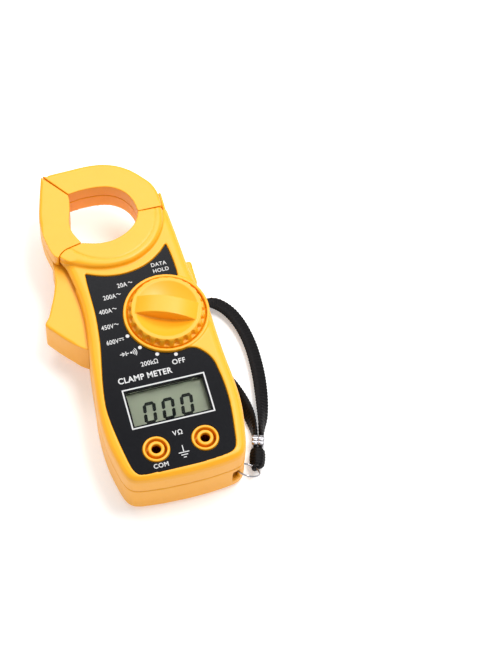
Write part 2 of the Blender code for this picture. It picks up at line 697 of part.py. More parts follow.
def jaw_pivot():
    rod("jaw_pivot_pin", PIVOT, PIVOT_PIN_R, 2.7, 26.9, STEEL, sides=24)
    turns, per_turn = 4, 11
    coil_r = 2.8
    points = [(PIVOT[0] + 9.0, PIVOT[1] - coil_r, 7.6)]
    for step in range(turns * per_turn + 1):
        angle = math.tau * step / per_turn - math.pi / 2
        points.append((PIVOT[0] + coil_r * math.cos(angle), PIVOT[1] + coil_r * math.sin(angle),
                       7.6 + 7.4 * step / (turns * per_turn)))
    points.append((PIVOT[0] - 4.4, PIVOT[1] - coil_r, 15.0))
    wire("jaw_spring", points, 0.45, STEEL, resolution=1)


# ---------------------------------------------------------------- the range switch

def range_knob():
    """The knob: a disc with a dished top, an arched grip bar across it and a short shaft below."""
    profile = [(0, KNOB_RIM_Z), (KNOB_TOP_R - 0.6, KNOB_RIM_Z), (KNOB_TOP_R, KNOB_RIM_Z - 0.8),
               (KNOB_LOW_R, KNOB_LOW_Z), (4.9, KNOB_LOW_Z), (4.9, 26.1), (0, 26.1)]
    made = turned("range_knob", profile, at(*KNOB), CASE, 40)
    dish_r = (DISH_R**2 + DISH_DEEP**2) / (2 * DISH_DEEP)
    cut(made, ball("knob_dish", dish_r, (*KNOB, KNOB_RIM_Z - DISH_DEEP + dish_r), 40))

    rise = KNOB_TOP_Z - KNOB_RIM_Z
    arch_r = (GRIP_REACH**2 + rise**2) / (2 * rise)
    bar = block("grip_bar", (-GRIP_REACH - 0.6, GRIP_REACH + 0.6, -GRIP_HALF, GRIP_HALF), KNOB_LOW_Z + 1, 45)
    arch = rod("grip_arch", (0, 0), arch_r, -GRIP_HALF - 1, GRIP_HALF + 1, sides=96)
    placed = at(*KNOB) @ Matrix.Rotation(GRIP_ANGLE, 4, "Z")
    bar.matrix_world = placed
    arch.matrix_world = placed @ at(0, 0, KNOB_TOP_Z - arch_r) @ Matrix.Rotation(math.pi / 2, 4, "X")
    boolean(bar, arch, "INTERSECT")
    join(made, bar)


def switch_works():
    carrier = plate("wiper_carrier", [circle(KNOB, CARRIER_R, 40)], 22.9, PLATE_LOW_Z - GAP - 0.1, NYLON)
    cut(carrier, rod("detent_pocket", (KNOB[0] + DETENT_R, KNOB[1]), 1.1, 23.5, 30, sides=16))
    about_axis(carrier, KNOB)
    contact = plate("wiper_contact", [circle(KNOB, 11.6, 32), circle(KNOB, 8.4, 32)], 22.0, 22.6, BRASS)
    about_axis(contact, KNOB)
    detent = ball("detent_ball", 0.75, (KNOB[0] + DETENT_R, KNOB[1], 25.0), 10, STEEL)
    hang("range_axis", (*KNOB, KNOB_LOW_Z), [detent])


# ---------------------------------------------------------------- display, board and sockets

def display():
    plate("lcd_window", [around(DISPLAY, WINDOW_W - 2 * GAP, WINDOW_H - 2 * GAP)], 27.0, 27.8, CLEAR)
    plate("lcd_glass", [around((DISPLAY[0], DISPLAY[1] - 1), 36, 20)], 24.5, 25.9, DISPLAY_GREY)
    holder = around((DISPLAY[0], DISPLAY[1] - 1), 39.4, 23.4)
    room = around((DISPLAY[0], DISPLAY[1] - 1), 36.6, 20.6)
    plate("lcd_holder", [holder, room], 21.8, 25.9, NYLON)
    block("zebra_strip", (-16, 16, DISPLAY[1] - 10.2, DISPLAY[1] - 7.8), 21.8, 24.2, (DARK_COLOUR, 0.7))


def label_panel():
    loops = [inset(label_loop(), 0.25), around(DISPLAY, WINDOW_W, WINDOW_H)]
    loops += [circle(centre, JACK_RIM_R + 0.25) for centre in JACKS.values()]
    plate("label_panel", loops, LABEL_FLOOR_Z + GAP, LABEL_TOP_Z, BLACK)


def board():
    loop = [(-22.5, -69.3), (22.5, -69.3), (23.6, -14), (21.2, 4), (20.6, 25), (-4.6, 25), (-4.6, -13.5), (-23.6, -13.5)]
    holes = [circle(centre, 3.3, 20) for centre in CASE_SCREWS]
    holes += [circle(centre, 2.85, 20) for centre in JACKS.values()]
    plate("pcb", [loop, *holes], PCB_LOW_Z, PCB_HIGH_Z, BOARD)
    low = PCB_LOW_Z - GAP
    block("main_chip", (4, 16, -24, -12), low - 1.6, low, (DARK_COLOUR, 0.6))
    rod("buzzer", (-14, -22.6), 5.6, low - 3.6, low, (DARK_COLOUR, 0.5))
    turned("electrolytic_cap", [(0, low), (2.4, low), (2.5, low - 0.4), (2.5, low - 5.0), (2.2, low - 5.4),
                                (0, low - 5.4)], at(19, -20), ((0.1, 0.14, 0.3), 0.4), 20)
    plate("thermistor", [arc((0, 0), 3.2, 0, 180, 10)], 0, 1.6, ((0.1, 0.25, 0.5), 0.5))
    stand = bpy.data.objects["thermistor"]
    stand.matrix_world = at(0, -66.3, low - 4.0) @ Matrix.Rotation(math.pi / 2, 4, "X")
    block("trimmer", (13, 17, 4, 8), low - 2.2, low, ((0.2, 0.35, 0.65), 0.5))


def sockets():
    for name, centre in JACKS.items():
        plate(name + "_sleeve", [circle(centre, 2.5, 24), circle(centre, 2.1, 24)], 11.0, 27.2, BRASS)


# ---------------------------------------------------------------- the power

def batteries():
    half = BATTERY_LONG / 2
    profile = [(0, half), (1.9, half), (1.9, half - 0.9), (BATTERY_R - 0.4, half - 0.9), (BATTERY_R, half - 1.3),
               (BATTERY_R, -half + 0.4), (BATTERY_R - 0.4, -half), (0, -half)]
    for index, y in enumerate(BATTERY_YS):
        way = 1 if index else -1
        lying = at(0, y, BATTERY_Z) @ Matrix.Rotation(way * math.pi / 2, 4, "Y")
        turned(f"battery_{index + 1}", profile, lying, ((0.15, 0.3, 0.25), 0.35), 24)
        plus, minus = (way * (half + 0.4), -way * (half + 0.4))
        low_x, high_x = sorted((plus, plus + way * 0.5))
        block(f"battery_plus_contact_{index + 1}", (low_x, high_x, y - 4, y + 4), 3.4, 12.6, STEEL)
        points = []
        count, per_turn = 25, 10
        for step in range(count + 1):
            angle = math.tau * step / per_turn
            radius = 3.4 - 1.3 * step / count
            points.append((minus - way * 0.35 - way * 2.2 * (count - step) / count, y + radius * math.cos(angle),
                           BATTERY_Z + radius * math.sin(angle)))
        wire(f"battery_spring_{index + 1}", points, 0.3, STEEL, resolution=1)


# ---------------------------------------------------------------- the hold button

def hold_button():
    half = HOLD_LONG / 2
    block("hold_button", (20.8, 27.6, HOLD_Y - half, HOLD_Y + half), HOLD_Z - HOLD_TALL / 2,
                 HOLD_Z + HOLD_TALL / 2, CASE, bevel=1.0)
    block("hold_switch", (13.4, 17.8, HOLD_Y - 3, HOLD_Y + 3), 14.2, PCB_LOW_Z - GAP, (DARK_COLOUR, 0.5))
    block("hold_switch_stem", (19.0, 20.4, HOLD_Y - 1.5, HOLD_Y + 1.5), 15.0, 17.6, NYLON)


# ---------------------------------------------------------------- the strap

def strap():
    """A ring on the lug, a cord end, a crimped ferrule and a loop of flat braid."""
    lean = math.radians(STRAP_LEAN)
    pull = math.radians(RING_PULL)
    centre = Vector((LUG[0] + RING_REACH * math.cos(pull), LUG[1] + RING_REACH * math.sin(pull), RING_Z))
    tilted = (Matrix.Translation(centre) @ Matrix.Rotation(pull, 4, "Z") @ Matrix.Rotation(RING_SLOPE, 4, "Y")
              @ Matrix.Rotation(RING_TILT, 4, "X"))
    flat = [RING_R * Vector((math.cos(math.tau * step / 20), math.sin(math.tau * step / 20), 0))
            for step in range(20)]
    ring = wire("strap_ring", [tilted @ point for point in flat], RING_WIRE_R, STEEL, cyclic=True)
    along_y = Matrix.Rotation(-math.pi / 2, 4, "X")
    turned_end = at(*STRAP_END) @ Matrix.Rotation(lean, 4, "Z")
    knot = [(2.2, 4.6), (3.3, 3.6), (3.5, 0.5), (3.2, -3.0), (2.3, -4.4)]
    end = turned("strap_knot", [(0, 4.6), *knot, (0, -4.4)], turned_end @ along_y, WEB, 16)
    ferrule = block("strap_ferrule", (-2.7, 2.7, 5.0, 9.9), -3.5, 3.0, STEEL, bevel=0.7)
    ferrule.matrix_world = turned_end
    loop = braid(smooth(STRAP_ROUTE, 4))
    hang("strap_axis", (*LUG, centre.z), [ring, end, ferrule, loop])


def braid(line):
    """The flat braid, standing on edge beside the case and turned down flat away from it."""
    steps = [0.0]
    for before, after in zip(line, line[1:]):
        steps.append(steps[-1] + math.dist(before[:3], after[:3]))
    curve = bpy.data.curves.new("wrist_strap", "CURVE")
    curve.dimensions = "3D"
    curve.twist_mode = "Z_UP"
    curve.extrude = (STRAP_WIDE - STRAP_THICK) / 2 * MM
    curve.bevel_depth = STRAP_THICK / 2 * MM
    curve.bevel_resolution = 1
    curve.use_fill_caps = True
    spline = curve.splines.new("POLY")
    spline.points.add(STRAP_POINTS - 1)
    span = 0
    for index, point in enumerate(spline.points):
        target = steps[-1] * index / (STRAP_POINTS - 1)
        while span < len(steps) - 2 and steps[span + 1] < target:
            span += 1
        share = (target - steps[span]) / (steps[span + 1] - steps[span])
        x, y, z, tilt = (a + (b - a) * share for a, b in zip(line[span], line[span + 1]))
        point.co = (x * MM, y * MM, z * MM, 1)
        point.tilt = math.radians(tilt)
    made = bpy.data.objects.new("wrist_strap", curve)
    PARTS.objects.link(made)
    curve.materials.append(material("wrist_strap", *WEB))
    return made


# ---------------------------------------------------------------- the meter

def build():
    openings = shared_cutters()
    front_case(openings)
    back_case(openings)
    battery_door()
    screw("battery_door_screw", DOOR_SCREW, 0.1, 7.0, head_r=2.3, shaft_r=1.0)
    for index, centre in enumerate(CASE_SCREWS):
        screw(f"case_screw_{index + 1}", centre, 1.8, 14.0)
    label_panel()
    display()
    fixed_jaw()
    moving_jaw()
    cores()
    coil()
    jaw_pivot()
    range_knob()
    switch_works()
    board()
    sockets()
    batteries()
    hold_button()
    strap()


build()
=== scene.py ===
"""Looks for the clamp meter: moulded shells, printing, knob, display, strap, light and camera.

Lengths and places are in millimetres, and are scaled to metres by MM as they are used. The camera, the
lights, the floor and the depth of each material's bumps are in metres.
"""

import math

import bmesh
import bpy
from mathutils import Euler, Matrix, Vector


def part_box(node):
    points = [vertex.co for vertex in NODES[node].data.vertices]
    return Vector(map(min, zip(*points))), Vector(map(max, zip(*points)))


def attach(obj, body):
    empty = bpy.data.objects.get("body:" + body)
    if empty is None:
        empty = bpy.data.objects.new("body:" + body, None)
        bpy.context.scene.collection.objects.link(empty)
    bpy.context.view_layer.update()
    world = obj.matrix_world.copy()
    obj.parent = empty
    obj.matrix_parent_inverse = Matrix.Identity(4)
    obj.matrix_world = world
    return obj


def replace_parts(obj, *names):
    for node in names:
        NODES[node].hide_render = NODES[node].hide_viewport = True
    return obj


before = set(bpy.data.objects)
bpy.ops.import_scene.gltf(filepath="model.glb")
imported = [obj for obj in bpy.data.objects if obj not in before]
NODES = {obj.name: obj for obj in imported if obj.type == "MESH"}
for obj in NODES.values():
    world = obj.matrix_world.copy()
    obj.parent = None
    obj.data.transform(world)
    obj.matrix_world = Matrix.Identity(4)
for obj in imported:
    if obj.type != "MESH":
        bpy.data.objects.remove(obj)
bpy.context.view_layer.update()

MM = 0.001

# The range switch: where it is, its radii, its grip bar, and the dots at its stops in degrees about it.
KNOB = (9.45, -2.15)
KNOB_LOW_R = 16.5
KNOB_TOP_R = 15.3
GRIP_ANGLE = -21.6
GRIP_HALF = 4.0
SCALLOPS = 24
DOT_R = 19.55
STOPS = (267, 244, 221, 199)

# The middle of the display and of the crescent's ring, and the strap's lug.
DISPLAY = (0.0, -41.65)
WINDOW_W = 33.0
WINDOW_H = 16.4
RING = (-5.0, 49.7)
LUG = (23.4, -71.0)

# The cord end's middle and lean, and how the ring hangs from the lug's post. Angles are in degrees.
STRAP_END = (32.5, -65.4, 4.2)
STRAP_LEAN = -18.0
RING_R = 5.2
RING_REACH = 3.1
RING_Z = 10.3
RING_PULL = -20.0
RING_SLOPE = 15.0
RING_TILT = -38.0

STRAP_WIDE = 6.4
STRAP_THICK = 2.4
# The strap's route from the ferrule and back to it: x, y, z and its tilt from standing on edge.
STRAP_ROUTE = [(34.4, -55.35, 3.5, 0), (34.9, -51.5, 3.5, 15), (34.8, -45.5, 3.4, 40), (33.9, -39.0, 3.0, 55),
               (32.4, -32.5, 3.4, 40), (31.0, -26.0, 3.6, 12), (29.95, -19.0, 3.6, 0), (29.75, -11.0, 3.6, 0),
               (29.5, -3.0, 3.6, 0), (29.1, 3.0, 3.6, 0), (28.9, 8.0, 3.6, 22), (31.2, 11.2, 3.4, 60),
               (35.0, 10.6, 3.0, 76), (38.8, 6.9, 2.8, 78), (41.6, 1.6, 2.7, 76), (43.6, -5.6, 2.5, 72),
               (44.5, -14.5, 2.45, 70), (44.1, -25.6, 2.45, 70), (42.6, -36.0, 2.7, 64), (40.4, -45.5, 3.2, 45),
               (38.3, -51.6, 3.5, 18), (36.9, -56.15, 3.5, 0)]


# ---------------------------------------------------------------- camera

def camera():
    """The camera's place, turn and lens, in metres, degrees and millimetres."""
    lens = bpy.data.cameras.new("camera")
    lens.lens = 111.6
    lens.sensor_width = 36
    lens.clip_start = 0.01
    made = bpy.data.objects.new("camera", lens)
    made.location = (-0.0995, -0.3974, 0.8033)
    made.rotation_euler = Euler(math.radians(angle) for angle in (27.306, -2.278, -15.514))
    bpy.context.scene.collection.objects.link(made)
    bpy.context.scene.camera = made


# ---------------------------------------------------------------- materials

class Look:
    """A node material that is built up from a Principled shader."""

    def __init__(self, name, colour, roughness, metallic=0.0, **sockets):
        self.material = bpy.data.materials.new(name)
        self.material.use_nodes = True
        self.tree = self.material.node_tree
        self.shader = self.tree.nodes["Principled BSDF"]
        self.set("Base Color", (*colour, 1))
        self.set("Roughness", roughness)
        self.set("Metallic", metallic)
        for socket, value in sockets.items():
            self.set(socket.replace("_", " "), value)

    def set(self, socket, value):
        self.shader.inputs[socket].default_value = value

    def node(self, kind, **values):
        made = self.tree.nodes.new(kind)
        for name, value in values.items():
            if hasattr(made, name):
                setattr(made, name, value)
            else:
                made.inputs[name.replace("_", " ")].default_value = value
        return made

    def link(self, start, end):
        self.tree.links.new(start, end)

    def place(self):
        """Coordinates in metres that stay on the piece."""
        return self.node("ShaderNodeTexCoord").outputs["Object"]

    def noise(self, scale, detail=4.0):
        made = self.node("ShaderNodeTexNoise", Scale=scale, Detail=detail)
        self.link(self.place(), made.inputs["Vector"])
        return made.outputs["Fac"]

    def spread(self, value, low, high):
        made = self.node("ShaderNodeMapRange", To_Min=low, To_Max=high)
        self.link(value, made.inputs["Value"])
        return made.outputs["Result"]

    def mix(self, factor, first, second):
        made = self.node("ShaderNodeMix", data_type="RGBA")
        self.link(factor, made.inputs["Factor"])
        made.inputs[6].default_value = (*first, 1)
        made.inputs[7].default_value = (*second, 1)
        return made.outputs[2]

    def bump(self, height, strength, distance):
        made = self.node("ShaderNodeBump", Strength=strength, Distance=distance)
        self.link(height, made.inputs["Height"])
        self.link(made.outputs["Normal"], self.shader.inputs["Normal"])

    def vary_colour(self, value, first, second):
        self.link(self.mix(value, first, second), self.shader.inputs["Base Color"])

    def vary_roughness(self, value, low, high):
        self.link(self.spread(value, low, high), self.shader.inputs["Roughness"])


def case_plastic():
    """Satin moulded plastic, a warm yellow-orange with a fine spark-eroded grain."""
    look = Look("case_plastic", (0.96, 0.42, 0.008), 0.42)
    look.vary_colour(look.noise(90, 3), (0.965, 0.43, 0.009), (0.95, 0.4, 0.006))
    look.vary_roughness(look.noise(400), 0.36, 0.46)
    look.bump(look.noise(5200, 2), 0.12, 0.00005)
    return look.material


def black_print():
    look = Look("label_film", (0.005, 0.005, 0.006), 0.34)
    look.set("Specular IOR Level", 0.1)
    look.vary_colour(look.noise(300), (0.004, 0.0042, 0.0055), (0.006, 0.0063, 0.0085))
    look.vary_roughness(look.noise(900), 0.2, 0.25)
    look.bump(look.noise(6000, 2), 0.08, 0.00003)
    return look.material


def white_ink():
    look = Look("white_ink", (0.86, 0.86, 0.84), 0.5)
    look.vary_colour(look.noise(2500), (0.66, 0.66, 0.66), (0.56, 0.56, 0.56))
    return look.material


def lcd_grey():
    look = Look("lcd_grey", (0.24, 0.26, 0.19), 0.35)
    look.set("Specular IOR Level", 0.15)
    look.vary_colour(look.noise(120), (0.26, 0.28, 0.2), (0.23, 0.255, 0.18))
    look.bump(look.noise(9000, 1), 0.05, 0.00002)
    return look.material


def lcd_ink():
    look = Look("lcd_ink", (0.003, 0.004, 0.003), 0.4)
    look.set("Specular IOR Level", 0.08)
    look.vary_roughness(look.noise(1500), 0.35, 0.45)
    return look.material


def clear_plastic():
    look = Look("clear_plastic", (0.97, 0.98, 0.98), 0.0, Transmission_Weight=1.0, IOR=1.08)
    look.vary_roughness(look.noise(200), 0.0, 0.02)
    return look.material


def metal(name, colour, low, high, scratch=0.08):
    """Metal with fine drawn scratches."""
    look = Look(name, colour, low, 1.0)
    look.vary_roughness(look.noise(700), low, high)
    look.bump(look.noise(4000, 5), scratch, 0.00005)
    return look.material


def plain_plastic(name, first, second, roughness):
    look = Look(name, first, roughness)
    look.vary_colour(look.noise(500), first, second)
    look.bump(look.noise(4500, 3), 0.1, 0.00005)
    return look.material


def board_green():
    """Solder mask with faint copper tracks under it."""
    look = Look("board_green", (0.02, 0.16, 0.06), 0.35)
    tracks = look.node("ShaderNodeTexBrick", Scale=260.0, Mortar_Size=0.03)
    look.link(look.place(), tracks.inputs["Vector"])
    look.vary_colour(tracks.outputs["Fac"], (0.015, 0.13, 0.05), (0.06, 0.3, 0.1))
    look.bump(tracks.outputs["Fac"], 0.3, 0.00008)
    return look.material


def battery_sleeve():
    look = Look("battery_sleeve", (0.05, 0.12, 0.09), 0.3)
    bands = look.node("ShaderNodeTexWave", Scale=60.0, Distortion=0.0)
    look.link(look.place(), bands.inputs["Vector"])
    look.vary_colour(bands.outputs["Fac"], (0.03, 0.09, 0.07), (0.10, 0.2, 0.14))
    return look.material


def black_braid():
    look = Look("black_braid", (0.003, 0.0025, 0.003), 0.5)
    look.set("Specular IOR Level", 0.12)
    fibre = look.noise(2600, 5)
    look.vary_colour(fibre, (0.001, 0.001, 0.001), (0.007, 0.006, 0.007))
    look.vary_roughness(look.noise(900), 0.42, 0.62)
    look.bump(fibre, 0.6, 0.0002)
    return look.material


CASE = case_plastic()
LABEL = black_print()
INK = white_ink()
LCD = lcd_grey()
LCD_INK = lcd_ink()
CLEAR = clear_plastic()
# The socket sleeves are given a dark red metal colour, darker and redder than brass.
SLEEVE = metal("sleeve_dark_red", (0.5, 0.1, 0.05), 0.3, 0.45)
STEEL = metal("plated_steel", (0.42, 0.41, 0.43), 0.2, 0.34)
IRON = metal("core_iron", (0.3, 0.31, 0.33), 0.4, 0.6, 0.3)
BRASS = metal("brass", (0.72, 0.42, 0.16), 0.2, 0.36)
COPPER = metal("copper_wire", (0.72, 0.27, 0.1), 0.25, 0.4, 0.4)
BLACK = plain_plastic("black_plastic", (0.012, 0.012, 0.013), (0.022, 0.022, 0.024), 0.45)
NYLON = plain_plastic("white_nylon", (0.8, 0.78, 0.72), (0.72, 0.7, 0.64), 0.5)
BLUE = plain_plastic("blue_coating", (0.03, 0.08, 0.28), (0.05, 0.13, 0.38), 0.3)
BOARD = board_green()
BATTERY = battery_sleeve()
BRAID = black_braid()

FINISHES = {
    CASE: ["front_case", "back_case", "battery_door", "fixed_jaw_front", "fixed_jaw_back", "moving_jaw_front",
           "moving_jaw_trigger", "range_knob", "hold_button"],
    LABEL: ["label_panel"],
    CLEAR: ["lcd_window"],
    LCD: ["lcd_glass"],
    BLACK: ["zebra_strip", "main_chip", "buzzer", "hold_switch"],
    NYLON: ["lcd_holder", "coil_bobbin", "wiper_carrier", "hold_switch_stem"],
    STEEL: ["battery_door_screw", "case_screw_1", "case_screw_2", "case_screw_3", "jaw_pivot_pin", "jaw_spring",
            "detent_ball", "battery_plus_contact_1", "battery_plus_contact_2", "battery_spring_1",
            "battery_spring_2", "strap_ring", "strap_ferrule"],
    IRON: ["fixed_core", "moving_core"],
    BRASS: ["wiper_contact"],
    SLEEVE: ["com_jack_sleeve", "volt_ohm_jack_sleeve"],
    COPPER: ["coil_winding"],
    BOARD: ["pcb"],
    BLUE: ["thermistor", "trimmer", "electrolytic_cap"],
    BATTERY: ["battery_1", "battery_2"],
    BRAID: ["strap_knot", "wrist_strap"],
}


def finish_nodes():
    for material, names in FINISHES.items():
        for name in names:
            data = NODES[name].data
            data.materials.clear()
            data.materials.append(material)


# ---------------------------------------------------------------- making pieces

def add(name, mesh, material, body):
    made = bpy.data.objects.new(name, mesh)
    mesh.materials.clear()
    mesh.materials.append(material)
    bpy.context.scene.collection.objects.link(made)
    if body:
        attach(made, body)
    return made


def evaluated(item):
    """The object's mesh with its modifiers applied."""
    bpy.context.view_layer.update()
    return bpy.data.meshes.new_from_object(item.evaluated_get(bpy.context.evaluated_depsgraph_get()))


def cone(name, low_r, high_r, low, high, centre=(0, 0), sides=64):
    """An upright cone or cylinder, in millimetres."""
    mesh = bpy.data.meshes.new(name)
    work = bmesh.new()
    bmesh.ops.create_cone(work, cap_ends=True, segments=sides, radius1=low_r * MM, radius2=high_r * MM,
                          depth=(high - low) * MM)
    bmesh.ops.translate(work, vec=Vector((*centre, (low + high) / 2)) * MM, verts=work.verts)
    work.to_mesh(mesh)
    work.free()
    made = bpy.data.objects.new(name, mesh)
    bpy.context.scene.collection.objects.link(made)
    return made


def cuboid(name, size, matrix):
    """A box of a size in millimetres, placed by a matrix."""
    mesh = bpy.data.meshes.new(name)
    work = bmesh.new()
    bmesh.ops.create_cube(work, size=1, matrix=matrix @ Matrix.Diagonal((*(side * MM for side in size), 1)))
    work.to_mesh(mesh)
    work.free()
    made = bpy.data.objects.new(name, mesh)
    bpy.context.scene.collection.objects.link(made)
    return made


def tube(name, points, radius, cyclic=False, sides=5):
    """A round wire along points in millimetres, as a mesh in metres."""
    curve = bpy.data.curves.new(name, "CURVE")
    curve.dimensions = "3D"
    curve.bevel_depth = radius * MM
    curve.bevel_resolution = sides
    curve.use_fill_caps = not cyclic
    spline = curve.splines.new("POLY")
    spline.points.add(len(points) - 1)
    for point, place in zip(spline.points, points):
        point.co = (*(value * MM for value in place), 1)
    spline.use_cyclic_u = cyclic
    made = bpy.data.objects.new(name, curve)
    bpy.context.scene.collection.objects.link(made)
    mesh = evaluated(made)
    bpy.data.objects.remove(made)
    work = bmesh.new()
    work.from_mesh(mesh)
    bmesh.ops.remove_doubles(work, verts=work.verts, dist=0.000001)
    bmesh.ops.recalc_face_normals(work, faces=work.faces)
    work.to_mesh(mesh)
    work.free()
    mesh.shade_smooth()
    mesh.set_sharp_from_angle(angle=math.radians(40))
    return mesh


def at(x, y, z=0.0):
    return Matrix.Translation(Vector((x, y, z)) * MM)


def combine(target, others, operation):
    """Applies Booleans, and removes the objects they used."""
    for other in others:
        change = target.modifiers.new(other.name, "BOOLEAN")
        change.operation = operation
        change.object = other
        change.solver = "EXACT"
    mesh = evaluated(target)
    target.modifiers.clear()
    target.data = mesh
    for other in others:
        bpy.data.objects.remove(other)


def soften(name, source, voxel, rounds, material, body, cuts=()):
    """A moulded piece: the source's form in an even mesh whose edges are slightly rounded."""
    rough = bpy.data.objects.new(name + "_rough", source.copy())
    bpy.context.scene.collection.objects.link(rough)
    if cuts:
        combine(rough, cuts, "DIFFERENCE")
    remesh = rough.modifiers.new("even", "REMESH")
    remesh.mode = "VOXEL"
    remesh.voxel_size = voxel * MM
    smooth = rough.modifiers.new("round", "SMOOTH")
    smooth.factor = 0.5
    smooth.iterations = rounds
    mesh = evaluated(rough)
    mesh.shade_smooth()
    mesh.name = name
    bpy.data.objects.remove(rough)
    return add(name, mesh, material, body)


# ---------------------------------------------------------------- the case and the jaws

def bead():
    """The cutter of the fine line that runs round the raised crescent, inside its edge."""
    radius, first, last, steps = 22.2, -152, -4, 72
    line_z, line_r = 32.74, 0.5
    points = []
    for step in range(steps + 1):
        angle = math.radians(first + (last - first) * step / steps)
        points.append((RING[0] + radius * math.cos(angle), RING[1] + radius * math.sin(angle), line_z))
    return bpy.data.objects.new("bead", tube("bead", points, line_r))


def shells():
    """The moulded shells, each with softened edges in place of its plain CAD form."""
    line = bead()
    bpy.context.scene.collection.objects.link(line)
    for node, body, voxel, cuts in (("front_case", "case", 0.32, [line]), ("back_case", "case", 0.4, []),
                                    ("fixed_jaw_front", "case", 0.28, []), ("fixed_jaw_back", "case", 0.3, []),
                                    ("moving_jaw_front", "moving_jaw", 0.28, []),
                                    ("battery_door", "case", 0.3, []), ("hold_button", "hold_key", 0.2, grips())):
        made = soften(node + "_shell", NODES[node].data, voxel, 3, CASE, body, cuts)
        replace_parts(made, node)


def grips():
    """Cutters for three finger grooves down the hold button's outer face."""
    groove_r, apart, proud = 0.45, 2.2, 0.15
    low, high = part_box("hold_button")
    middle = (low.y + high.y) / 2 / MM
    return [cone(f"grip_{index}", groove_r, groove_r, 14, 22, (high.x / MM + proud, middle + apart * index), 20)
            for index in (-1, 0, 1)]


def trigger():
    """The back half of the moving jaw, with grip ridges along the trigger's outer edge."""
    start, end, count = Vector((-34.3, 20.3)), Vector((-38.0, 12.0)), 6
    groove_r, proud = 0.75, 0.45
    outwards = Vector((-(start - end).y, (start - end).x)).normalized() * proud
    cuts = []
    for index in range(count):
        place = start + (end - start) * index / (count - 1) + outwards
        cuts.append(cone(f"ridge_{index}", groove_r, groove_r, 5, 30, place, 24))
    made = soften("moving_jaw_trigger_shell", NODES["moving_jaw_trigger"].data, 0.3, 3, CASE, "moving_jaw", cuts)
    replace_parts(made, "moving_jaw_trigger")


def screws():
    """The case and battery door screws, with threads and a cross recess in the head."""
    pitch, crest, head_tall, point = 0.9, 0.27, 0.9, 1.2
    slot = (2.5, 0.6, 1.3)
    for node in ("case_screw_1", "case_screw_2", "case_screw_3", "battery_door_screw"):
        low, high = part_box(node)
        centre = ((low.x + high.x) / 2 / MM, (low.y + high.y) / 2 / MM)
        head, tip, head_r = low.z / MM, high.z / MM, (high.x - low.x) / 2 / MM
        core_r = head_r * 0.36
        profile = [(0, tip), (core_r * 0.5, tip), (core_r, tip - point)]
        turns = int((tip - head - 2.8) / pitch)
        for index in range(turns):
            top = tip - point - 0.1 - pitch * index
            profile += [(core_r, top), (core_r + crest, top - 0.35), (core_r, top - 0.7)]
        profile += [(core_r, head + head_tall), (head_r, head + head_tall), (head_r, head + head_tall / 2),
                    (head_r * 0.86, head + 0.12), (head_r * 0.6, head), (0, head)]
        body = turned(node + "_body", profile, 48)
        cross = [cuboid(f"{node}_cross_{turn}", slot, at(0, 0, head) @ Matrix.Rotation(turn, 4, "Z"))
                 for turn in (0.5, 0.5 + math.pi / 2)]
        combine(body, cross, "DIFFERENCE")
        mesh = body.data
        mesh.transform(at(*centre))
        bpy.data.objects.remove(body)
        mesh.shade_smooth()
        mesh.set_sharp_from_angle(angle=math.radians(32))
        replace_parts(add(node + "_detail", mesh, STEEL, "case"), node)


def turned(name, profile, steps):
    """A profile of (radius, height) in millimetres, top to bottom, turned about Z."""
    mesh = bpy.data.meshes.new(name)
    mesh.from_pydata([(radius * MM, 0, height * MM) for radius, height in profile],
                     [(index, index + 1) for index in range(len(profile) - 1)], [])
    made = bpy.data.objects.new(name, mesh)
    bpy.context.scene.collection.objects.link(made)
    turn = made.modifiers.new("turn", "SCREW")
    turn.angle = math.tau
    turn.steps = turn.render_steps = steps
    turn.use_merge_vertices = True
    turn.merge_threshold = 0.000001
    made.data = evaluated(made)
    made.modifiers.clear()
    return made


def ball(name, radius, height, segments):
    mesh = bpy.data.meshes.new(name)
    work = bmesh.new()
    bmesh.ops.create_uvsphere(work, u_segments=segments, v_segments=segments, radius=radius * MM)
    bmesh.ops.translate(work, vec=(0, 0, height * MM), verts=work.verts)
    work.to_mesh(mesh)
    work.free()
    made = bpy.data.objects.new(name, mesh)
    bpy.context.scene.collection.objects.link(made)
    return made


def knob():
    """The range knob: a disc with a dished top and a scalloped rim, and an arched grip bar across it."""
    low_z, rim_z, top_z = 28.8, 34.0, 38.0
    reach, dish_across, dish_deep = 13.0, 13.2, 2.8
    scallop_at, scallop_r, scallop_low = 16.0, 1.25, 30.2
    body = turned("knob_body", [(0, rim_z), (KNOB_TOP_R - 0.6, rim_z), (KNOB_TOP_R, rim_z - 0.8),
                                (KNOB_LOW_R, low_z), (0, low_z)], 192)
    dish_r = (dish_across**2 + dish_deep**2) / (2 * dish_deep)
    cutters = [ball("knob_dish", dish_r, rim_z - dish_deep + dish_r, 160)]
    for index in range(SCALLOPS):
        angle = math.tau * (index + 0.5) / SCALLOPS + math.radians(GRIP_ANGLE)
        place = (scallop_at * math.cos(angle), scallop_at * math.sin(angle))
        cutters.append(cone(f"knob_scallop_{index}", scallop_r, scallop_r, scallop_low, 45, place, 20))
    combine(body, cutters, "DIFFERENCE")
    arch_r = (reach**2 + (top_z - rim_z) ** 2) / (2 * (top_z - rim_z))
    grip = cuboid("grip_bar", (2 * reach + 1.2, 2 * GRIP_HALF, 15), at(0, 0, 37.3))
    arch = cone("grip_arch", arch_r, arch_r, -GRIP_HALF - 1, GRIP_HALF + 1, sides=360)
    arch.matrix_world = at(0, 0, top_z - arch_r) @ Matrix.Rotation(math.pi / 2, 4, "X")
    combine(grip, [arch], "INTERSECT")
    grip.matrix_world = Matrix.Rotation(math.radians(GRIP_ANGLE), 4, "Z")
    combine(body, [grip], "UNION")
    mesh = body.data
    mesh.transform(at(*KNOB))
    bpy.data.objects.remove(body)
    made = soften("range_knob_shell", mesh, 0.2, 5, CASE, "range_switch")
    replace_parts(made, "range_knob")


# ---------------------------------------------------------------- printing

LABEL_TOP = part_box("label_panel")[1].z
PRINT_THICK = 0.05


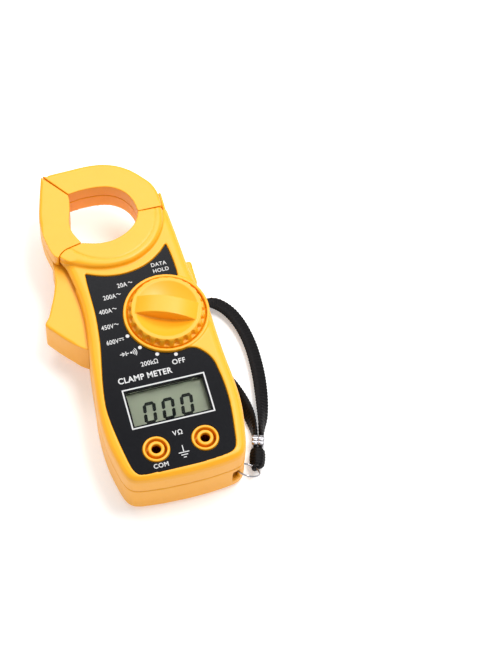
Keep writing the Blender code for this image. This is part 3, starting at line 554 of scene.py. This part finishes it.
def lettering(name, words, size, centre, spacing, width, bold):
    """Words as a thin mesh on the label. Sizes in millimetres."""
    text = bpy.data.curves.new(name, "FONT")
    text.body = words
    text.size = size * MM
    text.align_x = "CENTER"
    text.align_y = "CENTER"
    text.space_character = spacing
    text.extrude = PRINT_THICK / 2 * MM
    text.offset = bold * MM
    text.resolution_u = 6
    made = bpy.data.objects.new(name, text)
    bpy.context.scene.collection.objects.link(made)
    made.matrix_world = (Matrix.Translation((centre[0] * MM, centre[1] * MM, LABEL_TOP + PRINT_THICK / 2 * MM))
                         @ Matrix.Diagonal((width, 1, 1, 1)))
    mesh = evaluated(made)
    mesh.transform(made.matrix_world)
    bpy.data.objects.remove(made)
    return mesh


def outline(name, loops, low, high):
    """A flat shape with holes, as a mesh between two heights in metres."""
    curve = bpy.data.curves.new(name, "CURVE")
    curve.dimensions = "2D"
    curve.fill_mode = "BOTH"
    curve.extrude = (high - low) / 2
    for loop in loops:
        spline = curve.splines.new("POLY")
        spline.points.add(len(loop) - 1)
        for point, (x, y) in zip(spline.points, loop):
            point.co = (x * MM, y * MM, 0, 1)
        spline.use_cyclic_u = True
    made = bpy.data.objects.new(name, curve)
    bpy.context.scene.collection.objects.link(made)
    mesh = evaluated(made)
    mesh.transform(Matrix.Translation((0, 0, (low + high) / 2)))
    bpy.data.objects.remove(made)
    return mesh


def printed(name, loops):
    return outline(name, loops, LABEL_TOP, LABEL_TOP + PRINT_THICK * MM)


def circle(centre, radius, steps=32):
    return [(centre[0] + radius * math.cos(math.tau * step / steps),
             centre[1] + radius * math.sin(math.tau * step / steps)) for step in range(steps)]


def box_loop(centre, width, height):
    x, y = centre
    return [(x - width / 2, y - height / 2), (x + width / 2, y - height / 2), (x + width / 2, y + height / 2),
            (x - width / 2, y + height / 2)]


def bar(start, end, width):
    """A straight printed line."""
    start, end = Vector(start), Vector(end)
    across = (end - start).normalized().orthogonal() * width / 2
    return [tuple(start - across), tuple(end - across), tuple(end + across), tuple(start + across)]


def wave(centre, length, height, width):
    """A printed alternating-current sign, as one closed loop."""
    steps = 16
    line = []
    for step in range(steps + 1):
        share = step / steps
        line.append((centre[0] + length * (share - 0.5), centre[1] + height / 2 * math.sin(math.tau * share)))
    return [(x, y - width / 2) for x, y in line] + [(x, y + width / 2) for x, y in reversed(line)]


def merged(name, meshes, material, body):
    work = bmesh.new()
    for mesh in meshes:
        work.from_mesh(mesh)
    mesh = bpy.data.meshes.new(name)
    work.to_mesh(mesh)
    work.free()
    return add(name, mesh, material, body)


def marks(name, loops):
    """Printed shapes that may touch each other, so each one is filled by itself."""
    return [printed(f"{name}_{index}", [loop]) for index, loop in enumerate(loops)]


def ranges():
    """The words round the knob, each with its alternating or direct current sign, and the dots."""
    tall, dot_r, line = 2.95, 0.8, 0.34
    found = []
    for angle in STOPS:
        dot = (KNOB[0] + DOT_R * math.cos(math.radians(angle)), KNOB[1] + DOT_R * math.sin(math.radians(angle)))
        found += marks(f"dot_{angle}", [circle(dot, dot_r)])
    for words, centre, sign in (("20A", (-5.4, 15.5), (-1.75, 16.1)), ("200A", (-11.9, 11.2), (-7.9, 11.8)),
                                ("400A", (-15.2, 4.9), (-11.2, 5.5)), ("450V", (-16.1, -2.5), (-12.2, -1.9)),
                                ("600V", (-15.7, -9.8), (-11.8, -9.3))):
        found.append(lettering("range_" + words, words, tall, centre, 1.06, 0.82, 0.03))
        x, y = sign
        if words == "600V":
            found += marks("direct", [bar((x - 0.95, y + 0.4), (x + 0.95, y + 0.4), line),
                                      bar((x - 0.95, y - 0.4), (x - 0.3, y - 0.4), line),
                                      bar((x + 0.3, y - 0.4), (x + 0.95, y - 0.4), line)])
        else:
            found += marks("wave_" + words, [wave(sign, 1.8, 0.5, line)])
    found.append(lettering("range_200k", "200kΩ", tall, (-3.2, -22.9), 1.06, 0.88, 0.03))
    found.append(lettering("range_off", "OFF", 3.2, (8.7, -25.1), 1.1, 0.95, 0.05))
    return found


def symbols():
    """The diode and sounder signs, and the earth sign between the sockets."""
    x, y = -12.3, -16.4
    found = marks("diode", [bar((x - 1.9, y), (x + 1.9, y), 0.36),
                            [(x - 0.9, y - 0.95), (x + 0.6, y), (x - 0.9, y + 0.95)],
                            bar((x + 0.7, y - 0.95), (x + 0.7, y + 0.95), 0.4)])
    x = -9.5
    for index, radius in enumerate((0.9, 1.6, 2.3)):
        angles = [math.radians(-42 + 84 * step / 8) for step in range(9)]
        outer = [(x + (radius + 0.3) * math.cos(a), y + (radius + 0.3) * math.sin(a)) for a in angles]
        inner = [(x + radius * math.cos(a), y + radius * math.sin(a)) for a in reversed(angles)]
        found += marks(f"sound_{index}", [outer + inner])
    found += marks("sound_dot", [circle((x + 0.1, y), 0.45, 12)])
    x, y = 0.3, -65.6
    found += marks("earth", [bar((x, y + 3.2), (x, y), 0.38)] + [
        bar((x - half, y - 1.1 * index), (x + half, y - 1.1 * index), 0.38)
        for index, half in enumerate((2.2, 1.4, 0.6))])
    return found


def printing():
    meshes = ranges() + symbols()
    meshes.append(lettering("title", "CLAMP METER", 3.7, (-6.6, -28.4), 1.06, 0.92, 0.08))
    meshes.append(lettering("data", "DATA", 2.5, (12.1, 21.7), 1.1, 0.95, 0.03))
    meshes.append(lettering("hold", "HOLD", 2.5, (12.4, 18.7), 1.1, 0.95, 0.03))
    meshes.append(lettering("com", "COM", 2.8, (-10.1, -69.0), 1.1, 0.95, 0.04))
    meshes.append(lettering("volt_ohm", "VΩ", 3.0, (0.0, -56.6), 1.2, 0.95, 0.04))
    meshes.append(printed("display_frame", [box_loop(DISPLAY, 35.2, 18.4), box_loop(DISPLAY, 34.05, 17.25)]))
    merged("printing", meshes, INK, "case")


# ---------------------------------------------------------------- the display

def segment(centre, angle, length, width):
    """One bar of a digit, with pointed ends."""
    half = length / 2
    tip = width * 0.35
    shape = [(-half, 0), (-half + tip, -width / 2), (half - tip, -width / 2), (half, 0),
             (half - tip, width / 2), (-half + tip, width / 2)]
    c, s = math.cos(math.radians(angle)), math.sin(math.radians(angle))
    return [(centre[0] + x * c - y * s, centre[1] + x * s + y * c) for x, y in shape]


def digits():
    """Three noughts that lean a little and sit low on the display."""
    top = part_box("lcd_glass")[1].z
    wide, tall, thick = 4.0, 8.4, 1.45
    lean, drop = 0.125, 2.0
    found = []
    for index, x in enumerate((-8.3, -0.4, 7.5)):
        y = DISPLAY[1] - drop
        places = [((0, tall / 2), 0, wide), ((0, -tall / 2), 0, wide)]
        places += [((side * wide / 2, level * tall / 4), 90, tall / 2 - 0.3)
                   for side in (-1, 1) for level in (-1, 1)]
        for number, (centre, angle, length) in enumerate(places):
            loop = [(x + px + lean * py, y + py) for px, py in segment(centre, angle, length, thick)]
            found.append(outline(f"digit_{index}_{number}", [loop], top + 0.02 * MM, top + 0.08 * MM))
    merged("lcd_digits", found, LCD_INK, "case")


def window_painted_shade():
    """A black sheet round the inner walls of the display's window: painted shade standing in for the shadow on
    those walls.
    """
    fit, thick = 0.04, 0.5
    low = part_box("lcd_glass")[1].z + 0.15 * MM
    mesh = outline("window_painted_shade", [box_loop(DISPLAY, WINDOW_W - fit, WINDOW_H - fit),
                                     box_loop(DISPLAY, WINDOW_W - thick, WINDOW_H - thick)],
                   low, LABEL_TOP - 0.1 * MM)
    add("window_painted_shade", mesh, LABEL, "case")


# ---------------------------------------------------------------- the strap

def along(points, spacing):
    """Evenly spaced (position, tilt) along a smooth curve through the route, in metres."""
    fine = []
    for span in range(len(points) - 1):
        around = [points[min(max(span + shift, 0), len(points) - 1)] for shift in (-1, 0, 1, 2)]
        for step in range(24):
            t = step / 24
            weights = (-t**3 + 2 * t**2 - t, 3 * t**3 - 5 * t**2 + 2, -3 * t**3 + 4 * t**2 + t, t**3 - t**2)
            fine.append([sum(w * p[axis] for w, p in zip(weights, around)) / 2 for axis in range(4)])
    fine.append(list(points[-1]))
    lengths = [0.0]
    for before, after in zip(fine, fine[1:]):
        lengths.append(lengths[-1] + math.dist(before[:3], after[:3]))
    count = round(lengths[-1] / spacing)
    found = []
    span = 0
    for index in range(count + 1):
        target = lengths[-1] * index / count
        while span < len(lengths) - 2 and lengths[span + 1] < target:
            span += 1
        share = (target - lengths[span]) / (lengths[span + 1] - lengths[span])
        found.append([a + (b - a) * share for a, b in zip(fine[span], fine[span + 1])])
    return found, lengths[-1]


def braid():
    """The flat tubular braid: a ring of points at each step, raised where a strand passes over."""
    step_mm, sides = 0.26, 60
    pitch, strands, deep = 2.9, 5, 0.34
    route, length = along(STRAP_ROUTE, step_mm)
    rings = []
    for index, (x, y, z, tilt) in enumerate(route):
        before, after = route[max(index - 1, 0)], route[min(index + 1, len(route) - 1)]
        forward = (Vector(after[:3]) - Vector(before[:3])).normalized()
        level = Vector((0, 0, 1)).cross(forward).normalized()
        up = forward.cross(level).normalized()
        lean = Matrix.Rotation(math.radians(tilt), 3, forward)
        wide, thin = lean @ up, lean @ level
        ring = []
        for side in range(sides):
            angle = math.tau * side / sides
            across = math.copysign(abs(math.cos(angle)) ** 0.75, math.cos(angle)) * STRAP_WIDE / 2
            through = math.copysign(abs(math.sin(angle)) ** 0.8, math.sin(angle)) * STRAP_THICK / 2
            run = index * step_mm / pitch
            strand = side * strands / sides
            weave = math.sin(math.tau * (run + strand / 2)) * math.sin(math.tau * (run - strand / 2))
            sunk = deep * (0.5 - 0.5 * weave)
            ring.append((Vector((x, y, z)) + wide * across * (1 - sunk / STRAP_WIDE * 2)
                         + thin * through * (1 - sunk / STRAP_THICK * 2)) * MM)
        rings.append(ring)
    mesh = bpy.data.meshes.new("strap_braid")
    work = bmesh.new()
    made = [[work.verts.new(point) for point in ring] for ring in rings]
    for first, second in zip(made, made[1:]):
        for side in range(sides):
            other = (side + 1) % sides
            work.faces.new((first[side], first[other], second[other], second[side]))
    work.faces.new(list(reversed(made[0])))
    work.faces.new(made[-1])
    bmesh.ops.recalc_face_normals(work, faces=work.faces)
    work.to_mesh(mesh)
    work.free()
    mesh.shade_smooth()
    strap = add("strap_braid", mesh, BRAID, "strap")
    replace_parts(strap, "wrist_strap")


def strap_end():
    """The frame of the cord end and the ferrule, in metres: +Y runs up the strap."""
    return at(*STRAP_END) @ Matrix.Rotation(math.radians(STRAP_LEAN), 4, "Z")


def ferrule():
    """The crimped clip: one lobe for each run of the strap, dented across by the crimping tool."""
    lobe_x, middle_y, middle_z, rounding = 1.28, 7.45, -0.3, 0.9
    wide, long, tall = 2.75, 4.9, 6.3
    dent_places, dent_r, dent_z = (6.5, 8.4), 0.9, 3.45
    lobes = []
    for side in (-1, 1):
        mesh = bpy.data.meshes.new(f"lobe_{side}")
        work = bmesh.new()
        bmesh.ops.create_cube(work, size=1, matrix=at(side * lobe_x, middle_y, middle_z)
                              @ Matrix.Diagonal((wide * MM, long * MM, tall * MM, 1)))
        bmesh.ops.bevel(work, geom=work.edges[:], offset=rounding * MM, segments=5, profile=0.5, affect="EDGES")
        work.to_mesh(mesh)
        work.free()
        lobe = bpy.data.objects.new(mesh.name, mesh)
        bpy.context.scene.collection.objects.link(lobe)
        lobes.append(lobe)
    clip, other = lobes
    combine(clip, [other], "UNION")
    dents = []
    for index, y in enumerate(dent_places):
        dent = cone(f"dent_{index}", dent_r, dent_r, -4, 4, sides=32)
        dent.matrix_world = at(0, y, dent_z) @ Matrix.Rotation(math.pi / 2, 4, "Y")
        dents.append(dent)
    combine(clip, dents, "DIFFERENCE")
    mesh = clip.data
    mesh.transform(strap_end())
    bpy.data.objects.remove(clip)
    mesh.shade_smooth()
    mesh.set_sharp_from_angle(angle=math.radians(35))
    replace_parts(add("ferrule_clip", mesh, STEEL, "strap"), "strap_ferrule")


def ring_frame():
    """The ring's own frame in metres, with its axis along Z."""
    pull = math.radians(RING_PULL)
    centre = at(LUG[0] + RING_REACH * math.cos(pull), LUG[1] + RING_REACH * math.sin(pull), RING_Z)
    return (centre @ Matrix.Rotation(pull, 4, "Z") @ Matrix.Rotation(math.radians(RING_SLOPE), 4, "Y")
            @ Matrix.Rotation(math.radians(RING_TILT), 4, "X"))


def split_ring():
    """Two close turns of wire."""
    turns, per_turn, wire_r = 1.94, 72, 0.27
    count = round(turns * per_turn)
    points = []
    for step in range(count + 1):
        angle = math.tau * step / per_turn
        rise = wire_r * (2 * step / count - 1)
        points.append((RING_R * math.cos(angle), RING_R * math.sin(angle), rise))
    mesh = tube("split_ring", points, wire_r)
    mesh.transform(ring_frame())
    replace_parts(add("split_ring", mesh, STEEL, "strap"), "strap_ring")


def cord_end():
    """The woven end of the strap, with the small loop of cord that holds the ring."""
    profile = [(-4.3, 2.0), (-3.9, 2.7), (-3.0, 3.2), (-1.2, 3.45), (0.5, 3.5), (2.2, 3.4), (3.6, 3.1), (4.4, 2.4)]
    sides, levels, deep, strands, pitch, flatter, tip_y = 72, 60, 0.3, 7, 2.6, 0.98, 4.75
    work = bmesh.new()
    rings = []
    for level in range(levels + 1):
        place = (len(profile) - 1) * level / levels
        span = min(int(place), len(profile) - 2)
        share = place - span
        height, radius = (a + (b - a) * share for a, b in zip(profile[span], profile[span + 1]))
        ring = []
        for side in range(sides):
            angle = math.tau * side / sides
            run = height / pitch
            turn = strands * side / sides
            weave = math.sin(math.tau * (run + turn / 2)) * math.sin(math.tau * (run - turn / 2))
            sunk = radius - deep * (0.5 - 0.5 * weave)
            point = Vector((sunk * math.cos(angle), height, sunk * flatter * math.sin(angle)))
            ring.append(work.verts.new(point * MM))
        rings.append(ring)
    for first, second in zip(rings, rings[1:]):
        for side in range(sides):
            other = (side + 1) % sides
            work.faces.new((first[side], first[other], second[other], second[side]))
    for ring, height in ((rings[0], -tip_y), (rings[-1], tip_y)):
        tip = work.verts.new(Vector((0, height, 0)) * MM)
        for side in range(sides):
            work.faces.new((ring[side], ring[(side + 1) % sides], tip))
    bmesh.ops.recalc_face_normals(work, faces=work.faces)
    bmesh.ops.transform(work, matrix=strap_end(), verts=work.verts)
    mesh = bpy.data.meshes.new("cord_end")
    work.to_mesh(mesh)
    work.free()
    mesh.shade_smooth()
    body = bpy.data.objects.new("cord_end_body", mesh)
    bpy.context.scene.collection.objects.link(body)
    eye = bpy.data.objects.new("cord_eye", cord_eye())
    bpy.context.scene.collection.objects.link(eye)
    combine(body, [eye], "UNION")
    mesh = body.data
    bpy.data.objects.remove(body)
    mesh.shade_smooth()
    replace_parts(add("cord_end", mesh, BRAID, "strap"), "strap_knot")


def cord_eye():
    """The loop from the cord end round the ring's wire: it stands square to the wire."""
    nearest = math.radians(48)
    beyond, half_wide, cord_r, steps = 1.25, 1.3, 0.6, 40
    frame_now = ring_frame()
    wire = frame_now @ (Vector((math.cos(nearest), math.sin(nearest), 0)) * RING_R * MM)
    along_wire = (frame_now.to_3x3() @ Vector((-math.sin(nearest), math.cos(nearest), 0))).normalized()
    goal = strap_end() @ (Vector((0, -3.6, 0)) * MM)
    towards = goal - wire
    towards -= along_wire * towards.dot(along_wire)
    reach = towards.length / MM
    towards.normalize()
    across = along_wire.cross(towards)
    middle = wire / MM + towards * (reach - beyond) / 2
    points = [middle + towards * math.cos(math.tau * step / steps) * (reach + beyond) / 2
              + across * math.sin(math.tau * step / steps) * half_wide for step in range(steps)]
    return tube("cord_eye", points, cord_r, cyclic=True)


# ---------------------------------------------------------------- stage

def floor():
    """A wide white sheet, bright enough to stay white under the meter's shadow."""
    half_side, below = 4, -0.0002
    mesh = bpy.data.meshes.new("floor")
    work = bmesh.new()
    bmesh.ops.create_grid(work, x_segments=1, y_segments=1, size=half_side)
    work.to_mesh(mesh)
    work.free()
    look = Look("floor_white", (0.8, 0.8, 0.8), 0.8, Emission_Color=(1, 1, 1, 1), Emission_Strength=0.36)
    look.vary_colour(look.noise(3), (0.8, 0.8, 0.8), (0.785, 0.785, 0.785))
    made = add("floor", mesh, look.material, None)
    made.location.z = below


def area_light(name, place, size, power):
    """A white lamp, in metres and watts, that looks at the meter."""
    light = bpy.data.lights.new(name, "AREA")
    light.shape = "RECTANGLE"
    light.size, light.size_y = size
    light.energy = power
    made = bpy.data.objects.new(name, light)
    made.location = place
    made.rotation_euler = (-Vector(place)).to_track_quat("-Z", "Y").to_euler()
    bpy.context.scene.collection.objects.link(made)


def studio():
    """A lamp almost overhead, a softbox behind the jaws and an even white sky."""
    world = bpy.data.worlds.new("studio")
    world.use_nodes = True
    world.node_tree.nodes["Background"].inputs["Color"].default_value = (1, 1, 1, 1)
    world.node_tree.nodes["Background"].inputs["Strength"].default_value = 0.5
    bpy.context.scene.world = world
    area_light("key", (0.42, 0.06, 1.2), (0.45, 0.45), 11)
    area_light("softbox", (0.1, 0.69, 0.92), (1.0, 0.4), 6)
    bpy.context.scene.view_settings.view_transform = "Standard"


# ---------------------------------------------------------------- the meter

camera()
finish_nodes()
ferrule()
split_ring()
cord_end()
braid()
shells()
trigger()
screws()
knob()
printing()
digits()
window_painted_shade()
floor()
studio()
